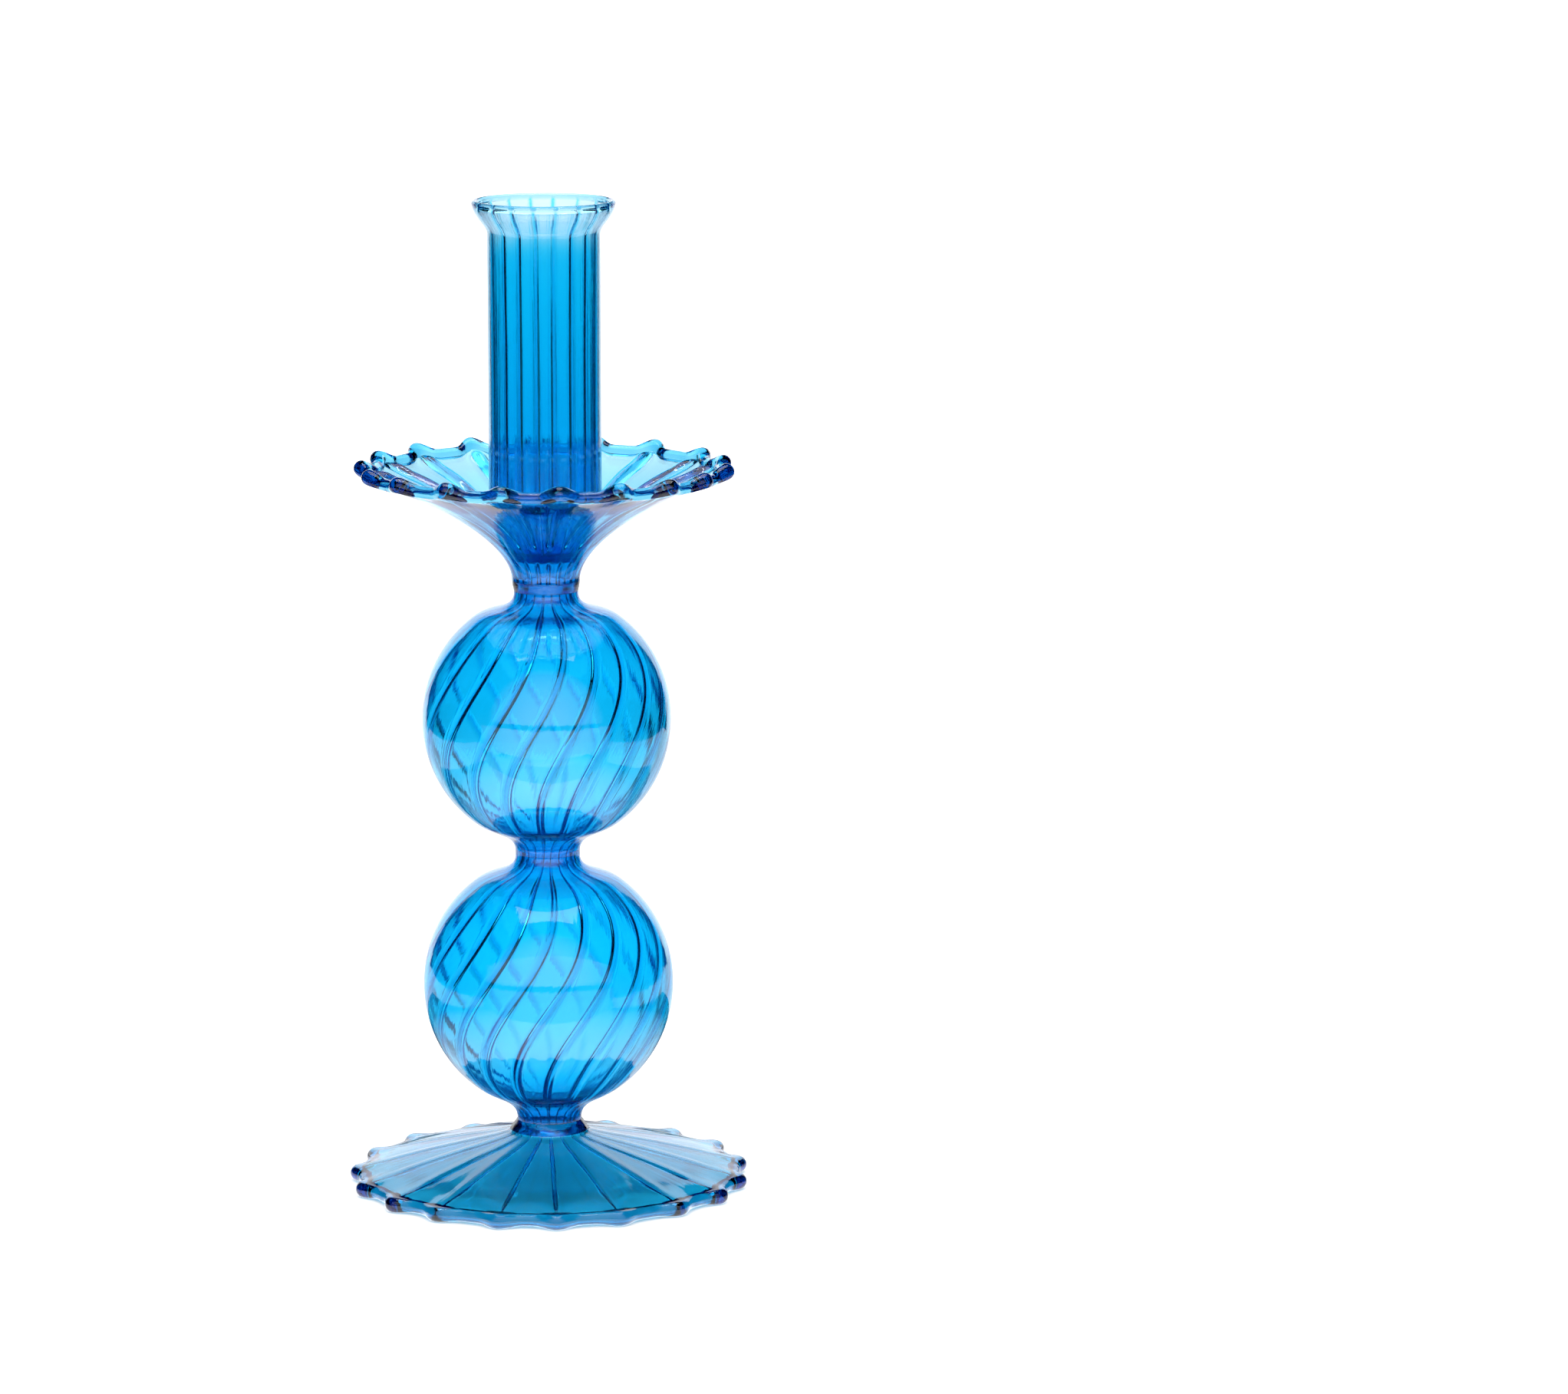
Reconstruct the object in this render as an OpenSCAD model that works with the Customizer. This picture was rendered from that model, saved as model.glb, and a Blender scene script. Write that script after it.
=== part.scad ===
// Glass candlestick: a fluted foot, two twisted bulbs, a drip dish and a candle cup,
// blown from ribbed glass tube and welded end to end.
// Origin: centre of the foot's underside, +Z up along the axis. Millimetres.

/* [Blown glass] */
// Number of ribs moulded into the inner wall of each blown piece
rib_count = 18; // [12:1:20]
// Height of a rib above the wall it stands on
rib_h = 0.7; // [0.3:0.1:0.9]
// Wall of the blown pieces
wall = 1.6; // [1.3:0.1:1.8]
// Outside diameter of the necks where the pieces meet
neck_d = 15; // [14.4:0.1:16]

/* [Foot] */
// Diameter of the foot over the drops on its rim
foot_d = 94; // [84:1:104]
// Height of the foot, up to its weld
foot_h = 12.8; // [11.6:0.2:15]

/* [Bulbs] */
// Diameter of the lower bulb
lower_bulb_d = 58.4; // [54:0.2:59.4]
// Length of the lower bulb with its necks
lower_bulb_l = 63.4; // [63:0.2:67]
// Turn of the lower bulb's ribs from neck to neck, in degrees
lower_turn = 50; // [0:1:90]
// Diameter of the upper bulb
upper_bulb_d = 57.8; // [54:0.2:58]
// Length of the upper bulb with its necks
upper_bulb_l = 61.6; // [61.4:0.2:66]
// Turn of the upper bulb's ribs from neck to neck, in degrees
upper_turn = 42; // [0:1:90]

/* [Drip dish] */
// Diameter of the dish over the drops on its rim
dish_d = 88; // [80:1:96]
// Height of the dish from its weld to the middle of its rim
dish_h = 24.8; // [24:0.2:28]

/* [Candle cup] */
// Bore of the cup, for a 22 mm candle
bore_d = 22.8; // [22.4:0.1:23.2]
// Length of the bore's straight wall
bore_l = 61.4; // [40:0.2:70]
// Wall of the cup
cup_wall = 1.6; // [1.4:0.1:1.8]
// Diameter over the flared lip
lip_d = 33; // [31:0.5:36]

/* [Hidden] */

// Facets round a blown piece, and steps along one of its curves
facets = 4 * rib_count;
steps = 8;

// Rolled rim of the foot and the dish, with a drop of glass at the end of each rib
rim_r = 1.3;
drop_out = 1.9;
drop_fat = 0.3;
drop_lift = 0.9;
foot_rim_r = foot_d / 2 - rim_r - drop_out - drop_fat;
dish_rim_r = dish_d / 2 - rim_r - drop_out - drop_fat;

// Necks and welds. A neck ends in a straight land, so the pieces meet on flat rings
neck_r = neck_d / 2;
foot_neck_r = neck_r + 1.6;
dish_neck_r = neck_r + 0.4;
land = 0.8;
weld_h = 2.4;
weld_in = neck_r - 2.6;

// Bulbs are a little taller than wide, and sit a little above the middle of their length
bulb_tall = 1.022;
bulb_up = 0.7;
shoulder = 36;

// Levels of the joints, from the table up
z_lower = foot_h + weld_h;
z_waist = z_lower + lower_bulb_l;
z_weld = z_waist + upper_bulb_l;
z_dish = z_weld + weld_h;
z_rim = z_dish + dish_h;

// The cup hangs in the dish's funnel, and its end is drawn in to a round floor
cup_r = bore_d / 2 + cup_wall;
z_floor = z_dish + 4.6;
z_seal = z_dish + 5.2;
seal_h = 2.6;
z_bore = z_floor + 14;
z_flare = z_bore + bore_l;
z_lip = z_flare + 7;
lip_bead = 0.8;
cone_r = 8.7;
cone_h = 2.6;

// Blue glass, and the thicker and darker glass of the welds
glass_blue = [0.10, 0.62, 0.90, 0.55];
weld_blue = [0.02, 0.35, 0.75, 0.8];

// ---- Curves and outlines, as lists of [radius, height] that run upwards ----

// Cubic curve from a to d with the handles b and c
function curve(a, b, c, d, n = steps) = [
    for (i = [0:n])
        let (t = i / n, u = 1 - t)
        u * u * u * a + 3 * u * u * t * b + 3 * u * t * t * c + t * t * t * d
];

// Arc of radius r round c from angle a0 to a1
function arc(c, r, a0, a1, n = steps) = [
    for (i = [0:n])
        let (a = a0 + (a1 - a0) * i / n)
        c + r * [cos(a), sin(a)]
];

function reversed(p) = [for (i = [len(p) - 1:-1:0]) p[i]];

// Unit normal of an outline at its point i, out of the glass
function normal_at(p, i) =
    let (d = p[min(i + 1, len(p) - 1)] - p[max(i - 1, 0)])
    [d.y, -d.x] / norm(d);

// Far side of a wall whose outer side is the outline p
function inner_side(p, t) = [for (i = [0:len(p) - 1]) p[i] - normal_at(p, i) * t];

// ---- Ribs: each outline point gets [radius, height, rise in radius, rise in height] ----

// How far a rib has risen at angle a, from 0 between ribs to 1 on a crest
function rib_at(a) = pow(cos(rib_count * a / 2), 4);

// Points that no rib moves
function smooth(p) = [for (q = p) [q.x, q.y, 0, 0]];

// The ribbed far side of a wall, smooth below the height z_from
function ribbed_side(p, t, z_from = 0) = [
    for (i = [0:len(p) - 1])
        let (n = normal_at(p, i), q = p[i] - n * t, rise = q.y < z_from ? 0 : rib_h)
        [q.x, q.y, -n.x * rise, -n.y * rise]
];

// Rolled rim round c from angle a0 to a1, where each rib ends in a drop
function rolled_rim(c, a0, a1, lift) = [
    for (q = arc([0, 0], 1, a0, a1, 6))
        [
            c.x + rim_r * q.x,
            c.y + rim_r * q.y,
            drop_out * max(q.x, 0) + drop_fat * q.x,
            lift + drop_fat * max(q.y, 0)
        ]
];

// Ribs turn by this much between the heights z0 and z1, slowly near the ends
function turn_at(z, z0, z1, turn) =
    let (t = min(max((z - z0) / (z1 - z0), 0), 1))
    turn * t * t * (3 - 2 * t);

// Closed outline swept round the axis with its ribs
module blown(outline, z0 = 0, z1 = 1, turn = 0) {
    m = len(outline);
    polyhedron(
        points = [
            for (i = [0:facets - 1], q = outline)
                let (a = 360 * i / facets, rib = rib_at(a), r = q.x + rib * q[2])
                let (b = a + turn_at(q.y, z0, z1, turn))
                [r * cos(b), r * sin(b), q.y + rib * q[3]]
        ],
        faces = [
            for (i = [0:facets - 1], j = [0:m - 1], first = [true, false])
                let (k = (i + 1) % facets, l = (j + 1) % m)
                first ? [i * m + j, i * m + l, k * m + l] : [i * m + j, k * m + l, k * m + j]
        ]
    );
}

// ---- Foot ----

// Top side of the foot, from its rim up to the neck
function foot_top() = concat(
    curve(
        [foot_rim_r + 0.2, 2 * rim_r],
        [foot_rim_r * 0.68, foot_h * 0.63],
        [foot_neck_r + 1.8, foot_h * 0.86],
        [foot_neck_r, foot_h - land / 2]
    ),
    [[foot_neck_r, foot_h]]
);

module foot() {
    color(glass_blue)
    blown(concat(
        smooth(foot_top()),
        reversed([for (q = ribbed_side(foot_top(), wall)) if (q.x < foot_rim_r - 3.5) q]),
        smooth([[foot_rim_r - 2.6, 0], [foot_rim_r - 1, 0]]),
        rolled_rim([foot_rim_r, rim_r], -80, 70, 0)
    ));
}

// ---- Bulbs ----

// One half of a bulb's outline, from its widest place to the end of its neck: the round of
// the bulb, then a hollow curve into a neck that ends at the height z_end above the middle
function half_bulb(r, z_end) =
    let (tall = r * bulb_tall)
    let (edge = [r * sin(shoulder), tall * cos(shoulder)])
    let (slope = [-r * cos(shoulder), tall * sin(shoulder)])
    concat(
        [for (i = [0:3]) let (b = 90 - (90 - shoulder) * i / 4) [r * sin(b), tall * cos(b)]],
        curve(
            edge,
            edge + 4.7 * slope / norm(slope),
            [neck_r + 0.4, z_end - land - 3.8],
            [neck_r, z_end - land],
            4
        ),
        [[neck_r, z_end]]
    );

// Outer outline of a bulb whose necks end at z0 and z1
function bulb_outline(r, z0, z1) =
    let (zc = (z0 + z1) / 2 + bulb_up)
    let (low = reversed([for (q = half_bulb(r, zc - z0)) [q.x, zc - q.y]]))
    let (high = [for (q = half_bulb(r, z1 - zc)) [q.x, zc + q.y]])
    concat([for (i = [0:len(low) - 2]) low[i]], high);

module bulb(d, z0, z1, turn, start) {
    outline = bulb_outline(d / 2, z0, z1);
    rotate([0, 0, start])
    blown(concat(smooth(outline), reversed(ribbed_side(outline, wall))), z0, z1, turn);
}

module lower_bulb() {
    color(glass_blue)
    bulb(lower_bulb_d, z_lower, z_waist, lower_turn, 0);
}

// Its ribs start where the lower bulb's end
module upper_bulb() {
    color(glass_blue)
    bulb(upper_bulb_d, z_waist, z_weld, upper_turn, lower_turn);
}

// ---- Welds ----

// Ring of glass run in between two necks, from the radius r_low through r_mid to r_high
module weld(z, r_low, r_mid, r_high) {
    rotate_extrude($fn = 96)
    polygon([
        [weld_in, z],
        [r_low, z],
        [r_mid, z + weld_h / 2],
        [r_high, z + weld_h],
        [weld_in, z + weld_h]
    ]);
}

module foot_weld() {
    color(weld_blue)
    weld(foot_h, foot_neck_r, neck_r + 0.55, neck_r);
}

module dish_weld() {
    color(weld_blue)
    weld(z_weld, neck_r, neck_r + 0.25, dish_neck_r);
}

// ---- Drip dish ----

// Underside of the dish, from its neck out to the rim
function dish_under() = concat(
    [[dish_neck_r, z_dish]],
    curve(
        [dish_neck_r, z_dish + land / 2],
        [dish_neck_r + 0.6, z_dish + dish_h * 0.34],
        [dish_rim_r * 0.59, z_dish + dish_h * 0.73],
        [dish_rim_r - 0.6, z_rim - rim_r],
        11
    )
);

module drip_dish() {
    color(glass_blue)
    blown(concat(
        smooth(dish_under()),
        rolled_rim([dish_rim_r, z_rim], -60, 110, drop_lift),
        reversed([
            for (q = ribbed_side(dish_under(), wall, z_seal + seal_h + 0.5))
                if (q.x < dish_rim_r - 1.5) q
        ])
    ));
}

// ---- Candle cup ----

// Outside of the cup's drawn-in end, from the middle of its floor up to the straight tube
function cup_end(inset) = concat(
    curve(
        [0, z_floor + inset],
        [cone_r * 0.6, z_floor + inset],
        [cone_r - inset - 0.6, z_floor + inset * 0.8],
        [cone_r - inset, z_floor + cone_h],
        6
    ),
    curve(
        [cup_r - inset - 0.7, z_bore - 2.4],
        [cup_r - inset - 0.2, z_bore - 1.4],
        [cup_r - inset, z_bore - 0.8],
        [cup_r - inset, z_bore],
        3
    )
);

// Outside of the flared lip, from the straight tube up to the bead on its edge
function cup_lip() = curve(
    [cup_r, z_flare],
    [cup_r, z_flare + 2],
    [lip_d / 2 - 0.5, z_flare + 3.6],
    [lip_d / 2, z_lip - 0.2]
);

module candle_cup() {
    color(glass_blue)
    rotate_extrude($fn = 96)
    polygon(concat(
        cup_end(0),
        cup_lip(),
        arc([lip_d / 2 - lip_bead, z_lip], lip_bead, 0, 180, 6),
        [for (q = reversed(inner_side(cup_lip(), cup_wall))) if (q.y > z_flare + 0.3 && q.y < z_lip - 1.2) q],
        [[bore_d / 2, z_flare]],
        reversed(cup_end(cup_wall))
    ));
}

// Solid outside of the cup below its bore
module cup_plug() {
    rotate_extrude($fn = 96)
    polygon(concat(cup_end(0), [[0, z_bore]]));
}

// Ring of glass that joins the cup's drawn-in end to the wall of the dish's funnel
module cup_seal() {
    facet_shrink = cos(180 / facets);
    hollow = inner_side(dish_under(), wall);
    color(weld_blue)
    difference() {
        intersection() {
            translate([0, 0, z_seal])
            cylinder(h = seal_h, r = cup_r, $fn = 96);
            rotate_extrude($fn = 96)
            polygon(concat(
                [[0, z_dish]],
                [for (q = hollow) [q.x * facet_shrink, q.y]],
                [[0, hollow[len(hollow) - 1].y]]
            ));
        }
        cup_plug();
    }
}

foot();
foot_weld();
lower_bulb();
upper_bulb();
dish_weld();
drip_dish();
cup_seal();
candle_cup();
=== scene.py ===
"""Looks of the glass candlestick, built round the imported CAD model.

Blender works in metres. The outlines below are in millimetres, as closed lists of rows that run
along one side of the glass and back along the other, and are swept round the Z axis.

A row is: radius, height, rib out, rib up, rib half-width, drop out, drop up, drop half-width.
"""

import math

import bpy
import numpy as np
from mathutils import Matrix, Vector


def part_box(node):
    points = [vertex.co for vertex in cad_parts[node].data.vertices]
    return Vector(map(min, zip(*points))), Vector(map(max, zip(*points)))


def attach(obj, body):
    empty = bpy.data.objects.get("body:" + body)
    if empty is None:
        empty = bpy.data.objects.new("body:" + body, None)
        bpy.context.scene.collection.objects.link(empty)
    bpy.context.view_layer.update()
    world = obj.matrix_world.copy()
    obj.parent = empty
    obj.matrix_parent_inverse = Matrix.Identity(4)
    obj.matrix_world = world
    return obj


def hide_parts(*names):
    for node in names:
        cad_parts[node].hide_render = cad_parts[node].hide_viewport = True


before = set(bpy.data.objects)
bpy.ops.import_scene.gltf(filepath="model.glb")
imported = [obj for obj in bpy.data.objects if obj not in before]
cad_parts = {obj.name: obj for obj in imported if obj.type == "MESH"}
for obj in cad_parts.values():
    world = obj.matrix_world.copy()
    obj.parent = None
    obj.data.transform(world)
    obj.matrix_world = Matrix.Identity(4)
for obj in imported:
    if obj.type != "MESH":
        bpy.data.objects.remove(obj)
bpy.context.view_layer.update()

MM = 0.001

# Optic ribs moulded into the inner side of every blown piece. Each has columns of points on both
# sides, which crowd towards its middle. The welded rings have no ribs, and even columns
RIBS = 18
HALF_COLUMNS = 11
COLUMN_EVENNESS = 0.22
CROWDING_POWER = 2.2
RING_COLUMNS = 288

# Walls, in mm. Blown parts thin out as they widen
NECK_WALL = 2.1
BULB_WALL = 0.75
TUBE_WALL = 0.9
LIP_WALL = 0.55
DISH_WALL = 1.2
FOOT_WALL = 1.3
RIM_THINNING = 0.45
CUP_END_THICKENING = 0.35

# Rib height and half-width, in mm. The relief is the ribs' faint trace on the foot's top
BULB_RIB = (0.85, 1.65)
TUBE_RIB = (0.62, 1.0)
DISH_RIB = (1.5, 2.4)
FOOT_RIB = (0.42, 0.5)
FOOT_RELIEF = (0.16, 2.4)
RIM_RIB_FADE = 0.8
# Ribs lower than this, in mm, get no deeper tint and no painted shade
MIN_TINTED_AND_SHADED_RIB = 0.2

# Drops of glass on the rims of the foot and the dish, in mm
RIM_R = 1.4
DROP_OUT = 2.0
DROP_FAT = 0.5
DROP_LIFT = 1.2
DISH_DROP_W = 4.8
FOOT_DROP_W = 5.6
FOOT_RIM_LIFT = 0.4
RIM_BLEND = 6.0

# Turn of the ribs over the lower bulb, the necks between the bulbs, and the upper bulb, in degrees
LOWER_TURN = 46
WAIST_TURN = 8
UPPER_TURN = 38

# Azimuth of a rib at the front, counter-clockwise from +X, and the slow drift of the ribs round
# the piece, both in degrees. Then the seed of the scatter from rib to rib
FOOT_RIBS = (-87, -4, 3)
DISH_RIBS = (-86, -4, 7)
TUBE_RIBS = (-79, -1, 11)
BULB_RIBS = (-92.5, -3, 5)
RIB_SCATTER = 1.3

# Hand-made unevenness of wide glass, which starts at one radius and is full that much further out
WAVER_FROM = 9
WAVER_SPAN = 20

# Edges sharper than this are shaded as edges
SHARP_ANGLE = math.radians(55)

# Bulb outline, as in the CAD
BULB_UP = 0.7
BULB_TALL = 1.022
SHOULDER = math.radians(36)
LAND = 0.8
NECK_R = 7.5
FOOT_NECK_R = 9.1
DISH_NECK_R = 7.9

# Dish, cup, welds and seal, in mm. Heights are measured from the piece's own end, and the lip's
# and flare's from the top
DISH_TALL = 24.8
CUP_R = 13.0
CUP_END_R = 8.7
CUP_END_TALL = 14
FLARE_TALL = 7.8
LIP_R = 16.5
LIP_DOWN = 0.8
LIP_BEAD_R = 0.8
WELD_BORE_R = 4.9
WELD_BULGE = 0.05
SEAL_TALL = 2.6
OVERLAP = 0.03

# Absorption of the glass per mm for red, green and blue light
ABSORB = (0.5, 0.13, 0.05)
GLASS_IOR = 1.47

# Surface of each glass: how the streaks' noise is stretched over the UVs, the streaks' depth, and
# the depth of the slow ripples, in mm. Drawn tube is the most finely streaked
BLOWN_SURFACE = ((240, 2, 1), 0.022, 0.05)
DRAWN_SURFACE = ((260, 1.5, 1), 0.028, 0.03)
WELD_SURFACE = ((40, 30, 1), 0.05, 0.12)
RIPPLE_SCALE = 90
CLOUD_SCALE = 38

# Tint from the palest to the deepest glass, and how deep each piece is between them. Along the ribs
# the tint deepens, partly for their thicker glass and partly as painted shade for the dark rib
# lines
TINTS = (
    (0, (0.9, 0.83, 0.88)),
    (0.6, (0.05, 0.67, 0.88)),
    (0.86, (0.02, 0.46, 0.81)),
    (1, (0.006, 0.06, 0.25)),
)
DEPTH_SCALE = 0.86
FOOT_DEPTH = 0.68
BULB_DEPTH = 0.68
# How much paler the bulbs' lower halves are painted: painted light from the white table below
BULB_PAINTED_LIGHT = 0.3
NECK_DEPTH = 0.92
DISH_DEPTH = 0.26
TUBE_DEPTH = 0.84
TUBE_TOP_DEPTH = 0.64
# The flare's tint: partly its thin pale glass, partly painted light from above
LIP_DEPTH_WITH_PAINTED_LIGHT = 0.13
WELD_DEPTH = 0.86
RIB_THICK_AND_SHADED_DEPTH = 1.17
RIB_DEEPENING_AND_SHADE = 0.6
DISH_RIB_DEEPENING_AND_SHADE = 0.45
CLOUDING = 0.08

# Camera and studio, in metres and degrees
CAMERA_AT = (0, -1.4793, 0.3821)
CAMERA_PITCH = 10.237
CAMERA_YAW = 2.126
LENS = 149.12
SENSOR_WIDTH = 36
FLOOR_R = 0.5
FLOOR_SIDES = 128
FLOOR_GLOW = 0.1
FLOOR_GREYS = (0.86, 0.88)
WORLD_STRENGTH = 1.9
SOFT_EDGE = 0.8
LIGHT_BOUNCES = 32
GLOSSY_BOUNCES = 16


# ---- Outlines ----


def curve(a, b, c, d, n):
    """Cubic curve from a to d with the handles b and c."""
    t = np.linspace(0, 1, n + 1)[:, None]
    u = 1 - t
    a, b, c, d = (np.array(p, float) for p in (a, b, c, d))
    return u**3 * a + 3 * u * u * t * b + 3 * u * t * t * c + t**3 * d


def arc(centre, radius, start, end, n):
    """Arc round centre between two angles in degrees."""
    a = np.radians(np.linspace(start, end, n + 1))
    return np.array(centre) + radius * np.stack([np.cos(a), np.sin(a)], 1)


def normals(points):
    """Unit normals of an outline that runs upwards, pointing out of the glass."""
    d = np.gradient(points, axis=0)
    return np.stack([d[:, 1], -d[:, 0]], 1) / np.linalg.norm(d, axis=1)[:, None]


def spaced(points, step):
    """The same outline with points about step apart."""
    gaps = np.linalg.norm(np.diff(points, axis=0), axis=1)
    along = np.concatenate([[0], np.cumsum(gaps)])
    at = np.linspace(0, along[-1], max(2, round(along[-1] / step) + 1))
    return np.stack([np.interp(at, along, points[:, i]) for i in (0, 1)], 1)


def ease(z, low, high):
    """From 0 to 1 between two levels, slow near the ends."""
    t = np.clip((z - low) / (high - low), 0, 1)
    return t * t * (3 - 2 * t)


def plain(points):
    """Rows without ribs or drops."""
    rows = np.zeros((len(points), 8))
    rows[:, :2] = points
    rows[:, [4, 7]] = 1
    return rows


def inner(points, wall, rib, rib_share=1.0):
    """Rows of the ribbed far side of a wall.

    wall and rib_share may be one number or one a point.
    """
    n = normals(points)
    rows = plain(points - n * np.reshape(wall, (-1, 1)))
    share = np.reshape(rib_share, (-1, 1)) * np.ones((len(points), 1))
    rows[:, 2:4] = -n * share * rib[0]
    rows[:, 4] = rib[1]
    return rows


def thinned(wall, points, rim_r, span):
    """Wall that thins out towards a rim."""
    return wall - RIM_THINNING * ease(points[:, 0], rim_r - span, rim_r - 3)


def rim_fade(points, rim_r):
    """Share of the rib height, which fades at a rim so that no rib pushes through its bead."""
    return 1 - RIM_RIB_FADE * ease(points[:, 0], rim_r - 4, rim_r - 1)


def add_drops(rows, centre, out, lift, width):
    """Moves rows near the rim's centre with the drops at the rib ends."""
    far = np.linalg.norm(rows[:, :2] - np.array(centre), axis=1)
    t = np.clip(1 - (far - RIM_R) / RIM_BLEND, 0, 1)
    share = t * t * (3 - 2 * t)
    rows[:, 5] += out * share
    rows[:, 6] += lift * share
    rows[:, 7] = width
    return rows


def rolled_rim(centre, start, end, out, lift, width, n=16):
    """Rows of a rolled rim, fatter where a rib ends in a drop."""
    q = arc((0, 0), 1, start, end, n)
    rows = plain(np.array(centre) + RIM_R * q)
    rows[:, 5] = out + DROP_FAT * q[:, 0]
    rows[:, 6] = lift + DROP_FAT * q[:, 1]
    rows[:, 7] = width
    return rows


# ---- Sweeping ----


def rib_centres(phase, drift, seed):
    """Azimuth of each rib in radians: evenly spaced, with the drift and scatter of hand work."""
    rng = np.random.default_rng(seed)
    even = np.radians(phase) + np.arange(RIBS) * 2 * np.pi / RIBS
    return (
        even
        + math.radians(drift) * np.sin(even - np.radians(phase))
        + np.radians(rng.uniform(-RIB_SCATTER, RIB_SCATTER, RIBS))
    )


def columns(centres):
    """Azimuth of each column, its offset from its rib's middle, and its rib's number."""
    x = np.linspace(-1, 1, 2 * HALF_COLUMNS, endpoint=False)
    share = np.sign(x) * (
        COLUMN_EVENNESS * np.abs(x) + (1 - COLUMN_EVENNESS) * np.abs(x) ** CROWDING_POWER
    )
    gap = np.diff(np.append(centres, centres[0] + 2 * np.pi))
    before = np.roll(gap, 1)
    reach = np.where(share[None, :] < 0, before[:, None], gap[:, None]) / 2
    offset = share[None, :] * reach
    rib = np.repeat(np.arange(RIBS), len(x))
    return (centres[:, None] + offset).ravel(), offset.ravel(), rib


def hump(distance, half_width):
    """1 in the middle of a rib or drop, falling smoothly to 0 at its half-width."""
    return np.cos(np.clip(distance / half_width[:, None], 0, 1) * np.pi / 2) ** 2


def swept(
    name, rows, centres, depth, turn=None, seed=1, wobble=0.12, scatter=0.12, rib_deepening_and_shade=RIB_DEEPENING_AND_SHADE
):
    """Closed outline swept round the axis, with its ribs and drops, as a mesh object."""
    rng = np.random.default_rng(seed)
    azimuth, offset, rib = columns(centres)
    height = 1 + rng.uniform(-scatter, scatter, RIBS)[rib][None, :]
    drop = 1 + rng.uniform(-scatter, scatter, RIBS)[rib][None, :]
    r, z = rows[:, 0][:, None], rows[:, 1][:, None]
    along = np.abs(offset)[None, :] * np.maximum(r, 0.01)
    on_rib = hump(along, rows[:, 4]) * height
    on_drop = hump(along, rows[:, 7]) * drop
    theta = azimuth[None, :] + (0 if turn is None else turn(z))
    wide = np.clip((r - WAVER_FROM) / WAVER_SPAN, 0, 1)
    wave = np.sin(2 * theta + seed) + 0.6 * np.sin(3 * theta + 2 * seed + z / 17)
    waver = wobble * wide * wave
    radius = r + on_rib * rows[:, 2][:, None] + on_drop * rows[:, 5][:, None] + waver
    level = z + on_rib * rows[:, 3][:, None] + on_drop * rows[:, 6][:, None]
    points = np.stack([radius * np.cos(theta), radius * np.sin(theta), level + 0 * theta], 2) * MM
    # Painted shade: the tint deepens along rows with a real rib, partly for their thicker glass and
    # partly to draw dark rib lines
    ribbed = np.hypot(rows[:, 2], rows[:, 3])[:, None] > MIN_TINTED_AND_SHADED_RIB
    depth = np.reshape(depth, (-1, 1)) * np.ones_like(radius)
    depth = depth + (RIB_THICK_AND_SHADED_DEPTH - depth) * rib_deepening_and_shade * ribbed * np.clip(on_rib, 0, 1) ** 2
    return grid_mesh(name, points, depth)


def grid_mesh(name, points, depth):
    """Mesh object from rows by columns of points, closed round the axis and round the outline.

    depth says how deep the glass's tint is, painted shade and light included, as one number or one
    a point.
    """
    m, n = points.shape[:2]
    i, j = np.meshgrid(np.arange(m), np.arange(n), indexing="ij")
    i2, j2 = (i + 1) % m, (j + 1) % n
    quads = np.stack([i * n + j, i * n + j2, i2 * n + j2, i2 * n + j], 2).reshape(-1, 4)
    mesh = bpy.data.meshes.new(name)
    mesh.from_pydata(points.reshape(-1, 3).tolist(), [], quads.tolist())
    u = np.stack([j, j + 1, j + 1, j], 2).reshape(-1) / n
    v = np.stack([i, i, i + 1, i + 1], 2).reshape(-1) / m
    layer = mesh.uv_layers.new(name="UVMap")
    layer.data.foreach_set("uv", np.stack([u, v], 1).astype(np.float32).ravel())
    tint = mesh.attributes.new("depth", "FLOAT", "POINT")
    tint.data.foreach_set("value", (depth * np.ones((m, n))).astype(np.float32).ravel())
    mesh.polygons.foreach_set("use_smooth", np.ones(len(quads), bool))
    mesh.set_sharp_from_angle(angle=SHARP_ANGLE)
    mesh.validate()
    obj = bpy.data.objects.new(name, mesh)
    bpy.context.scene.collection.objects.link(obj)
    return obj


def bulb_turn(z):
    """Turn of the ribs up through both bulbs, in radians."""
    return np.radians(
        LOWER_TURN * ease(z, Z_LOWER + 8, Z_WAIST - 6)
        + WAIST_TURN * ease(z, Z_WAIST - 6, Z_WAIST + 9)
        + UPPER_TURN * ease(z, Z_WAIST + 10, Z_WELD - 4)
    )


# ---- Levels from the CAD, in mm ----


def level(node, top):
    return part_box(node)[1 if top else 0].z / MM


def reach(node):
    low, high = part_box(node)
    return max(high.x - low.x, high.y - low.y) / 2 / MM


Z_FOOT = level("foot", True)
Z_LOWER = level("lower_bulb", False)
Z_WAIST = level("upper_bulb", False)
Z_WELD = level("dish_weld", False)
Z_DISH = level("drip_dish", False)
Z_FLOOR = level("candle_cup", False)
Z_TOP = level("candle_cup", True)
Z_SEAL = level("cup_seal", False)


# ---- Pieces ----


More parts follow.
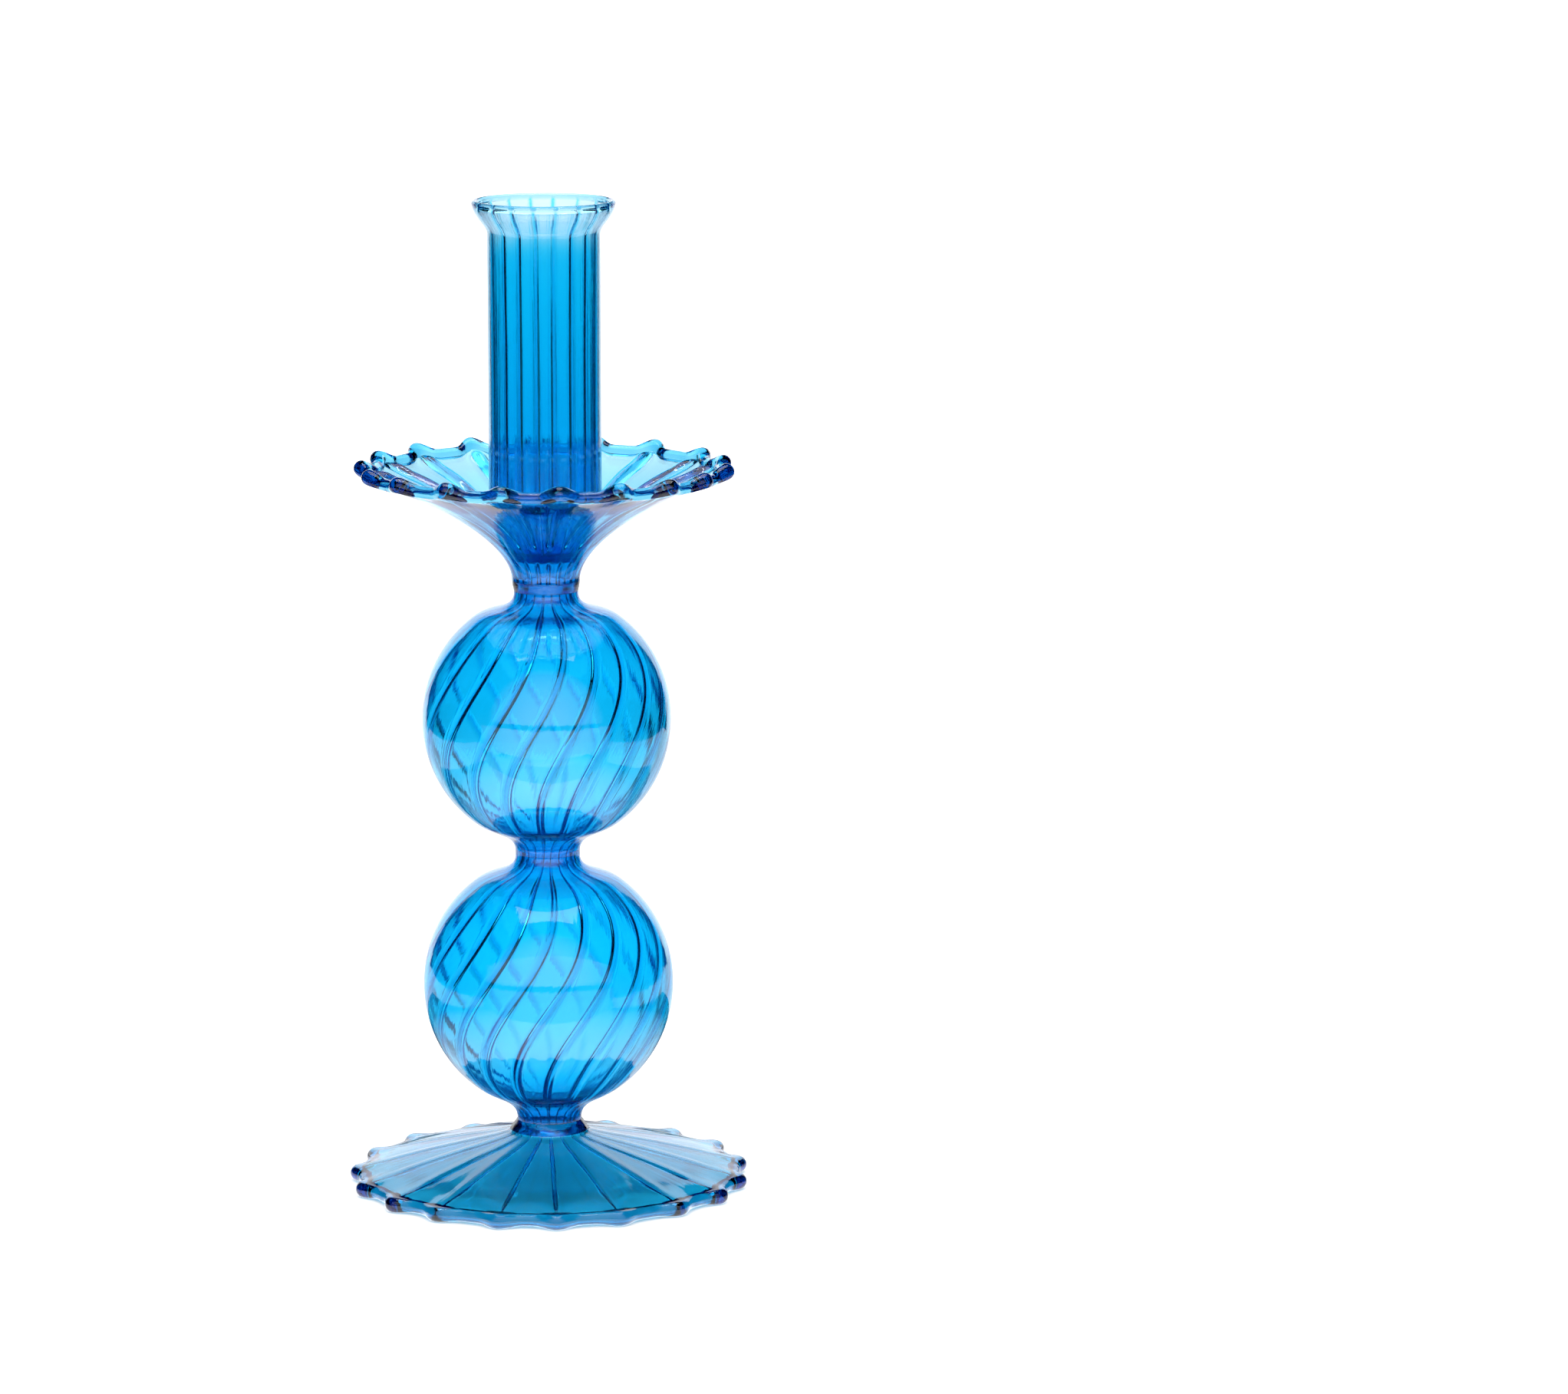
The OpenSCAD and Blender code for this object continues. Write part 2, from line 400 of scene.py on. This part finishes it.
def bulb_outline(radius, low, high):
    """Outer side of a bulb and its two short necks, from the bottom up."""
    mid = (low + high) / 2 + BULB_UP
    tall = radius * BULB_TALL

    def half(end):
        b = np.linspace(math.pi / 2, SHOULDER, 22)
        round_part = np.stack([radius * np.sin(b), tall * np.cos(b)], 1)
        edge = round_part[-1]
        slope = np.array([-radius * math.cos(SHOULDER), tall * math.sin(SHOULDER)])
        slope = slope / np.linalg.norm(slope)
        neck = curve(
            edge, edge + 4.7 * slope, (NECK_R + 0.4, end - LAND - 3.8), (NECK_R, end - LAND), 22
        )
        return np.concatenate([round_part, neck[1:], [(NECK_R, end)]])

    up, down = half(high - mid), half(mid - low)
    upper = up + np.array([0, mid])
    lower = down * np.array([1, -1]) + np.array([0, mid])
    return spaced(np.concatenate([lower[::-1][:-1], upper]), 0.9)


def bulb(name, node, low, high, seed):
    """Hollow bulb whose ribs twist, with a thinner wall and a lower half painted paler, as painted
    light from the white table below.
    """
    outline = bulb_outline(reach(node), low, high)
    wide = np.clip((outline[:, 0] - NECK_R) / (reach(node) - NECK_R), 0, 1)
    wall = NECK_WALL + (BULB_WALL - NECK_WALL) * wide**0.4
    inside = inner(outline, wall, BULB_RIB, 0.3 + 0.7 * wide)
    inside[:, 4] = BULB_RIB[1] * (0.22 + 0.78 * wide)
    rows = np.concatenate([plain(outline), inside[::-1]])
    # Painted light: the lower half is made paler, standing in for the bright table it mirrors
    paler = BULB_PAINTED_LIGHT * ease(-outline[:, 1], -(low + high) / 2, -low - 12)
    depth = BULB_DEPTH - paler + (NECK_DEPTH - BULB_DEPTH + paler) * (1 - wide) ** 2
    depth = np.concatenate([depth, depth[::-1]])
    return swept(name, rows, rib_centres(*BULB_RIBS), depth, bulb_turn, seed)


def foot():
    """Fluted foot, hollow underneath. Its rolled rim stands on the drops."""
    rim = (reach("foot") - DROP_OUT - RIM_R - DROP_FAT, RIM_R + FOOT_RIM_LIFT)
    top = curve(
        (rim[0] + 0.2, rim[1] + RIM_R),
        (rim[0] * 0.68, Z_FOOT * 0.63),
        (FOOT_NECK_R + 1.8, Z_FOOT * 0.86),
        (FOOT_NECK_R, Z_FOOT - LAND / 2),
        60,
    )
    top = spaced(np.concatenate([top, [(FOOT_NECK_R, Z_FOOT)]]), 0.6)
    relief = -ease(-top[:, 0], -rim[0] + 2, -rim[0] + 8) * np.clip(top[:, 0] / 20, 0, 1)
    outer = inner(top, 0, FOOT_RELIEF, relief)
    outer = add_drops(outer, rim, DROP_OUT * 0.5, 0.1, FOOT_DROP_W)
    under = inner(top, thinned(FOOT_WALL, top, rim[0], 12), FOOT_RIB, rim_fade(top, rim[0]))
    under = under[under[:, 0] < rim[0] - 1.2][::-1]
    under = add_drops(under, rim, DROP_OUT * 0.5, 0.1, FOOT_DROP_W)
    roll = rolled_rim(rim, -218, 70, DROP_OUT, 0, FOOT_DROP_W, 28)
    roll[:, 6] = np.maximum(roll[:, 6], -FOOT_RIM_LIFT)
    rows = np.concatenate([outer, under, roll])
    return swept("blown_foot", rows, rib_centres(*FOOT_RIBS), FOOT_DEPTH, seed=3, wobble=0)


def drip_dish():
    """Fluted dish with a funnel below. The ribs are low round the cup's seal."""
    z_rim = Z_DISH + DISH_TALL
    rim = (reach("drip_dish") - DROP_OUT - RIM_R - DROP_FAT, z_rim)
    under = curve(
        (DISH_NECK_R, Z_DISH + LAND / 2),
        (DISH_NECK_R + 0.6, Z_DISH + DISH_TALL * 0.34),
        (rim[0] * 0.59, Z_DISH + DISH_TALL * 0.73),
        (rim[0] - 0.55, z_rim - 1.3),
        80,
    )
    under = spaced(np.concatenate([[(DISH_NECK_R, Z_DISH)], under]), 0.6)
    outer = add_drops(plain(under), rim, DROP_OUT * 0.6, DROP_LIFT, DISH_DROP_W)
    z = under[:, 1]
    share = 0.45 + 0.55 * ease(z, Z_SEAL + 5, Z_SEAL + 16)
    share = share - 0.4 * (ease(z, Z_SEAL - 2, Z_SEAL) - ease(z, Z_SEAL + SEAL_TALL, Z_SEAL + 4))
    share = share * rim_fade(under, rim[0])
    above = inner(under, thinned(DISH_WALL, under, rim[0], 14), DISH_RIB, share)
    above[:, 4] = np.clip(above[:, 0] * 0.09, 0.7, DISH_RIB[1])
    above = above[above[:, 0] < rim[0] - 1.45][::-1]
    above = add_drops(above, rim, DROP_OUT * 0.5, DROP_LIFT, DISH_DROP_W)
    roll = rolled_rim(rim, -112, 204, DROP_OUT, DROP_LIFT, DISH_DROP_W, 30)
    rows = np.concatenate([outer, roll, above])
    depth = DISH_DEPTH + (NECK_DEPTH - DISH_DEPTH) * ease(-rows[:, 1], -Z_SEAL - 12, -Z_SEAL)
    centres = rib_centres(*DISH_RIBS)
    return swept(
        "blown_drip_dish", rows, centres, depth, seed=7, wobble=0.2, rib_deepening_and_shade=DISH_RIB_DEEPENING_AND_SHADE
    )


def cup_outline(z_bore, z_flare, z_lip):
    """Outer side of the cup, from the middle of its drawn-in end up to its lip."""
    bottom = curve(
        (0.02, Z_FLOOR),
        (CUP_END_R * 0.6, Z_FLOOR),
        (CUP_END_R - 0.6, Z_FLOOR),
        (CUP_END_R, Z_FLOOR + 2.6),
        16,
    )
    cone = curve(
        (CUP_END_R + 0.2, Z_FLOOR + 3.2),
        (CUP_R - 1.4, z_bore - 4),
        (CUP_R, z_bore - 2.4),
        (CUP_R, z_bore),
        24,
    )
    flare = curve(
        (CUP_R, z_flare),
        (CUP_R, z_flare + 2),
        (LIP_R - 0.5, z_flare + 3.6),
        (LIP_R, z_lip - 0.2),
        30,
    )
    end = spaced(np.concatenate([bottom, cone]), 0.5)
    tube = [(CUP_R, z_bore + 20), (CUP_R, z_bore + 40)]
    return np.concatenate([end, tube, flare])


def candle_cup():
    """Ribbed tube with a closed, drawn-in end and a flared lip, paler towards the lip: partly
    thinner glass, and on the flare partly painted light from above.
    """
    z_bore = Z_FLOOR + CUP_END_TALL
    z_flare = Z_TOP - FLARE_TALL
    z_lip = Z_TOP - LIP_DOWN
    outline = cup_outline(z_bore, z_flare, z_lip)
    outline = spaced(outline, 0.8)
    near_lip = np.clip((outline[:, 1] - (z_flare - 26)) / 28, 0, 1)
    wall = TUBE_WALL + (LIP_WALL - TUBE_WALL) * near_lip
    wall = wall + CUP_END_THICKENING * np.clip((z_bore - outline[:, 1]) / 12, 0, 1)
    inside = inner(outline, wall, TUBE_RIB, 1 - 0.35 * near_lip)
    inside = inside[(inside[:, 1] < z_lip - 0.6)][::-1]
    inside[:, 0] = np.maximum(inside[:, 0], 0.02)
    inside[:, 2:4] *= np.clip(inside[:, 0] / 7, 0, 1)[:, None]
    inside[:, 4] = np.minimum(TUBE_RIB[1], 0.12 * inside[:, 0] + 0.05)
    bead = plain(arc((LIP_R - 0.72, z_lip), LIP_BEAD_R, 0, 165, 12))
    rows = np.concatenate([plain(outline), bead, inside])
    up_tube = np.clip((rows[:, 1] - z_bore) / (z_flare - z_bore), 0, 1)
    depth = TUBE_DEPTH + (TUBE_TOP_DEPTH - TUBE_DEPTH) * up_tube
    # Painted light: the flare is made much paler, partly for its thinner glass and partly for the
    # light from above that it catches
    depth = depth + (LIP_DEPTH_WITH_PAINTED_LIGHT - TUBE_TOP_DEPTH) * ease(rows[:, 1], z_flare - 6, z_flare + 3)
    return swept("blown_candle_cup", rows, rib_centres(*TUBE_RIBS), depth, seed=11, wobble=0.06)


def ring(name, outline, seed, ripple):
    """Ring of welded glass: a closed outline, rippled as glass that ran in by hand."""
    theta = np.linspace(0, 2 * np.pi, RING_COLUMNS, endpoint=False)[None, :]
    r, z = outline[:, 0][:, None], outline[:, 1][:, None]
    rng = np.random.default_rng(seed)
    wave = sum(
        rng.uniform(0.3, 1)
        / (1 + k / 6)
        * np.sin(k * theta + rng.uniform(0, 6.28) + rng.uniform(-1, 1) * z)
        for k in (2, 3, 5, 8, 11, 17, 23)
    )
    free = outline[:, 2][:, None] * ripple
    radius = r + free * wave
    points = np.stack([radius * np.cos(theta), radius * np.sin(theta), z + 0 * theta], 2) * MM
    return grid_mesh(name, points, WELD_DEPTH)


def ring_outline(z0, z1, r0, r1):
    """Closed outline of a ring between two necks: radius, height, and how freely it ripples."""
    t = np.linspace(0, 1, 13)
    free = np.sin(np.pi * t)
    out_r = r0 + (r1 - r0) * t + WELD_BULGE * free
    in_r = WELD_BORE_R - 0.5 * free
    height = z0 - OVERLAP + (z1 - z0 + 2 * OVERLAP) * t
    up = np.stack([out_r, height, free], 1)
    down = np.stack([in_r, height, free], 1)[::-1]
    return np.concatenate([up, down])


def seal_outline():
    """Ring of glass between the cup's drawn-in end and the dish's funnel."""
    z0, z1 = Z_SEAL, Z_SEAL + SEAL_TALL
    low_out, high_out = 7.1, 8.9
    low_in, high_in = 5.6, 8.2
    t = np.linspace(0, 1, 9)
    up = np.stack([low_out + (high_out - low_out) * t, z0 + (z1 - z0) * t, 0.3 + 0 * t], 1)
    down = np.stack([low_in + (high_in - low_in) * t, z0 - 0.2 + (z1 - z0) * t, 0 * t + 1], 1)
    return np.concatenate([up, down[::-1]])


# ---- Materials ----


def noise(nodes, links, vector, scale, detail=2.0):
    node = nodes.new("ShaderNodeTexNoise")
    node.inputs["Scale"].default_value = scale
    node.inputs["Detail"].default_value = detail
    links.new(vector, node.inputs["Vector"])
    return node.outputs["Fac"]


def ramp(nodes, links, fac, dark, light):
    node = nodes.new("ShaderNodeValToRGB")
    node.color_ramp.elements[0].position = 0.3
    node.color_ramp.elements[1].position = 0.7
    node.color_ramp.elements[0].color = (*dark, 1)
    node.color_ramp.elements[1].color = (*light, 1)
    links.new(fac, node.inputs["Fac"])
    return node.outputs["Color"]


def tinted(nodes, links, cloud):
    """Tint of the glass, with its painted shade and light: pale to deep by the mesh's depth
    attribute, slightly clouded.
    """
    depth = nodes.new("ShaderNodeAttribute")
    depth.attribute_name = "depth"
    share = nodes.new("ShaderNodeMapRange")
    share.inputs["To Min"].default_value = DEPTH_SCALE * (1 - CLOUDING)
    share.inputs["To Max"].default_value = DEPTH_SCALE * (1 + CLOUDING)
    links.new(cloud, share.inputs["Value"])
    both = nodes.new("ShaderNodeMath")
    both.operation = "MULTIPLY"
    both.use_clamp = True
    links.new(depth.outputs["Fac"], both.inputs[0])
    links.new(share.outputs["Result"], both.inputs[1])
    tint = nodes.new("ShaderNodeValToRGB")
    stops = tint.color_ramp.elements
    for at, _ in TINTS[1:-1]:
        stops.new(at)
    for stop, (at, colour) in zip(stops, TINTS):
        stop.position = at
        stop.color = (*colour, 1)
    links.new(both.outputs["Value"], tint.inputs["Fac"])
    return tint.outputs["Color"]


def glass(name, streaks, streak_depth, ripple_depth):
    """Clear blue glass, tinted by the mesh's depth attribute and by its thickness.

    Its bump has streaks along the ribs and slow ripples.
    """
    mat = bpy.data.materials.new(name)
    mat.use_nodes = True
    nodes, links = mat.node_tree.nodes, mat.node_tree.links
    shader = nodes["Principled BSDF"]
    shader.inputs["Transmission Weight"].default_value = 1
    shader.inputs["IOR"].default_value = GLASS_IOR
    shader.inputs["Roughness"].default_value = 0
    coords = nodes.new("ShaderNodeTexCoord")
    cloud = noise(nodes, links, coords.outputs["Object"], CLOUD_SCALE)
    links.new(tinted(nodes, links, cloud), shader.inputs["Base Color"])
    stretch = nodes.new("ShaderNodeMapping")
    stretch.inputs["Scale"].default_value = streaks
    links.new(coords.outputs["UV"], stretch.inputs["Vector"])
    fine = nodes.new("ShaderNodeBump")
    fine.inputs["Distance"].default_value = streak_depth * MM
    links.new(noise(nodes, links, stretch.outputs["Vector"], 1, 3), fine.inputs["Height"])
    slow = nodes.new("ShaderNodeBump")
    slow.inputs["Distance"].default_value = ripple_depth * MM
    links.new(noise(nodes, links, coords.outputs["Object"], RIPPLE_SCALE), slow.inputs["Height"])
    links.new(fine.outputs["Normal"], slow.inputs["Normal"])
    links.new(slow.outputs["Normal"], shader.inputs["Normal"])
    depth = nodes.new("ShaderNodeVolumeAbsorption")
    depth.inputs["Density"].default_value = ABSORB[0] / MM
    depth.inputs["Color"].default_value = (*(1 - a / ABSORB[0] for a in ABSORB), 1)
    links.new(depth.outputs["Volume"], nodes["Material Output"].inputs["Volume"])
    return mat


def glowing(name, strength, fade):
    """Light of a softbox.

    fade, if any, is where it is brightest and how far it reaches each way.
    """
    mat = bpy.data.materials.new(name)
    mat.use_nodes = True
    nodes, links = mat.node_tree.nodes, mat.node_tree.links
    nodes.remove(nodes["Principled BSDF"])
    lamp = nodes.new("ShaderNodeEmission")
    lamp.inputs["Strength"].default_value = strength
    links.new(lamp.outputs["Emission"], nodes["Material Output"].inputs["Surface"])
    if fade:
        middle, far = fade
        coords = nodes.new("ShaderNodeTexCoord")
        place = nodes.new("ShaderNodeMapping")
        scale = [1 / f if f else 0 for f in far]
        place.inputs["Scale"].default_value = scale
        place.inputs["Location"].default_value = [-c * k for c, k in zip(middle, scale)]
        links.new(coords.outputs["Object"], place.inputs["Vector"])
        ball = nodes.new("ShaderNodeTexGradient")
        ball.gradient_type = "SPHERICAL"
        links.new(place.outputs["Vector"], ball.inputs["Vector"])
        flat = nodes.new("ShaderNodeMapRange")
        flat.inputs["From Max"].default_value = SOFT_EDGE
        flat.inputs["To Max"].default_value = strength
        links.new(ball.outputs["Fac"], flat.inputs["Value"])
        links.new(flat.outputs["Result"], lamp.inputs["Strength"])
    return mat


# ---- Studio ----


def make_camera():
    data = bpy.data.cameras.new("camera")
    data.lens = LENS
    data.sensor_width = SENSOR_WIDTH
    data.sensor_fit = "HORIZONTAL"
    data.clip_start, data.clip_end = 0.05, 50
    cam = bpy.data.objects.new("camera", data)
    cam.location = CAMERA_AT
    cam.rotation_euler = (math.radians(90 - CAMERA_PITCH), 0, -math.radians(CAMERA_YAW))
    bpy.context.scene.collection.objects.link(cam)
    bpy.context.scene.camera = cam
    bpy.context.view_layer.update()
    return cam


def quad(name, corners):
    mesh = bpy.data.meshes.new(name)
    mesh.from_pydata([tuple(c) for c in corners], [], [(0, 1, 2, 3)])
    obj = bpy.data.objects.new(name, mesh)
    bpy.context.scene.collection.objects.link(obj)
    return obj


def card(name, centre, across, up, strength, cam=None, seen_by="both", fade=None):
    """Softbox seen only in the glass, by its reflections, through it, or both.

    With cam it turns with the camera, as on a turntable shoot.
    """
    c, a, u = (np.array(v, float) for v in (centre, across, up))
    obj = quad(name, [c - a - u, c + a - u, c + a + u, c - a + u])
    obj.data.materials.append(glowing(name, strength, fade))
    obj.visible_camera = False
    obj.visible_diffuse = False
    obj.visible_shadow = False
    obj.visible_glossy = seen_by in ("both", "reflection")
    obj.visible_transmission = seen_by in ("both", "through")
    if cam is not None:
        obj.parent = cam
        obj.matrix_parent_inverse = cam.matrix_world.inverted()
    return obj


def turn_with(obj, cam):
    """Keeps a level card on the camera's side of the object."""
    follow = obj.constraints.new("COPY_ROTATION")
    follow.target = cam
    follow.use_x = follow.use_y = False


def make_floor():
    a = np.linspace(0, 2 * np.pi, FLOOR_SIDES, endpoint=False)
    edge = [(FLOOR_R * math.cos(t), FLOOR_R * math.sin(t), 0) for t in a]
    mesh = bpy.data.meshes.new("floor")
    mesh.from_pydata(edge, [], [tuple(range(FLOOR_SIDES))])
    floor = bpy.data.objects.new("floor", mesh)
    bpy.context.scene.collection.objects.link(floor)
    mat = bpy.data.materials.new("pale_floor")
    mat.use_nodes = True
    nodes, links = mat.node_tree.nodes, mat.node_tree.links
    coords = nodes.new("ShaderNodeTexCoord")
    dark, light = ((grey,) * 3 for grey in FLOOR_GREYS)
    shade = ramp(nodes, links, noise(nodes, links, coords.outputs["Object"], 6), dark, light)
    shader = nodes["Principled BSDF"]
    links.new(shade, shader.inputs["Base Color"])
    shader.inputs["Roughness"].default_value = 1
    shader.inputs["Specular IOR Level"].default_value = 0
    shader.inputs["Emission Color"].default_value = (1, 1, 1, 1)
    shader.inputs["Emission Strength"].default_value = FLOOR_GLOW
    mesh.materials.append(mat)
    floor.visible_glossy = False


def make_world():
    world = bpy.data.worlds.new("studio")
    world.use_nodes = True
    back = world.node_tree.nodes["Background"]
    back.inputs["Color"].default_value = (1, 1, 1, 1)
    back.inputs["Strength"].default_value = WORLD_STRENGTH
    world.cycles_visibility.glossy = False
    world.cycles_visibility.transmission = False
    bpy.context.scene.world = world


def hang_cards(cam):
    """Softboxes round the glass. Each call gives the centre, half the width, half the height, how
    bright it is, what it turns with, how it is seen and where it fades.
    """
    # Behind: the bright ground in the glass, as reflections and as seen through it
    card("backdrop", (0, 0.5, -0.12), (0.35, 0, 0), (0, 0, 0.48), 1.45, cam, "reflection")
    card("backlight", (0, 0.5, 0.1), (0.3, 0, 0), (0, 0, 0.7), 1.45, cam, "through")
    # Weak light from the camera's side
    card("fill", (0, -0.9, 0.2), (1.4, 0, 0), (0, 0, 1), 0.25, cam, "through")
    # Above
    card("overhead", (0, 0, 0.75), (0.3, 0, 0), (0, 0.3, 0), 3.2, cam, "reflection")
    card("strip", (0, -0.04, 0.74), (0.2, 0, 0), (0, 0.012, 0), 18, cam)
    card("sky", (0, 0, 0.76), (0.5, 0, 0), (0, 0.5, 0), 3.0, cam, "through")
    # In front: the pale veils on the bulbs
    fade = ((0, -0.7, 0.15), (1, 0, 0.95))
    card("front", (0, -0.7, 0.62), (1, 0, 0), (0, 0, 0.47), 2.6, cam, "reflection", fade)
    across = (0.16, 0, 0)
    fade = ((0, -0.1, 0.1), (0.18, 0, 0))
    card("upper_fill", (0, -0.1, 0.0895), across, (0, 0, 0.0215), 2.6, cam, "reflection", fade)
    fade = ((0, -0.1, 0.03), (0.18, 0, 0))
    card("lower_fill", (0, -0.1, 0.033), across, (0, 0, 0.023), 1.4, cam, "reflection", fade)
    # Below the floor: the white table mirrored in the undersides
    wide, deep = (0.2, 0, 0), (0, 0.25, 0)
    fade = ((0, -0.12, 0), (0.2, 0.25, 0))
    near = card("table_near", (0, -0.1, -0.004), wide, deep, 3.2, None, "reflection", fade)
    card("table_far", (0, 0, -0.008), (0.45, 0, 0), (0, 0.45, 0), 1.1, None, "reflection")
    turn_with(near, cam)


def make_studio():
    cam = make_camera()
    make_floor()
    make_world()
    hang_cards(cam)
    scene = bpy.context.scene
    scene.cycles.max_bounces = LIGHT_BOUNCES
    scene.cycles.transmission_bounces = LIGHT_BOUNCES
    scene.cycles.glossy_bounces = GLOSSY_BOUNCES
    scene.view_settings.view_transform = "Standard"


# ---- Building ----


def main():
    make_studio()
    blown = glass("blown_blue_glass", *BLOWN_SURFACE)
    drawn = glass("drawn_blue_glass", *DRAWN_SURFACE)
    welded = glass("welded_blue_glass", *WELD_SURFACE)
    foot_weld = ring_outline(Z_FOOT, Z_LOWER, FOOT_NECK_R, NECK_R)
    dish_weld = ring_outline(Z_WELD, Z_DISH, NECK_R, DISH_NECK_R)
    pieces = [
        (foot(), "foot", blown),
        (ring("weld_ring_foot", foot_weld, 21, 0.12), "foot_weld", welded),
        (bulb("blown_bulb_lower", "lower_bulb", Z_LOWER, Z_WAIST, 5), "lower_bulb", blown),
        (bulb("blown_bulb_upper", "upper_bulb", Z_WAIST - OVERLAP, Z_WELD, 6), "upper_bulb", blown),
        (ring("weld_ring_dish", dish_weld, 22, 0.05), "dish_weld", welded),
        (drip_dish(), "drip_dish", blown),
        (ring("sealed_cup_ring", seal_outline(), 23, 0.1), "cup_seal", welded),
        (candle_cup(), "candle_cup", drawn),
    ]
    for piece, node, mat in pieces:
        piece.data.materials.append(mat)
        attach(piece, "root")
        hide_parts(node)


main()
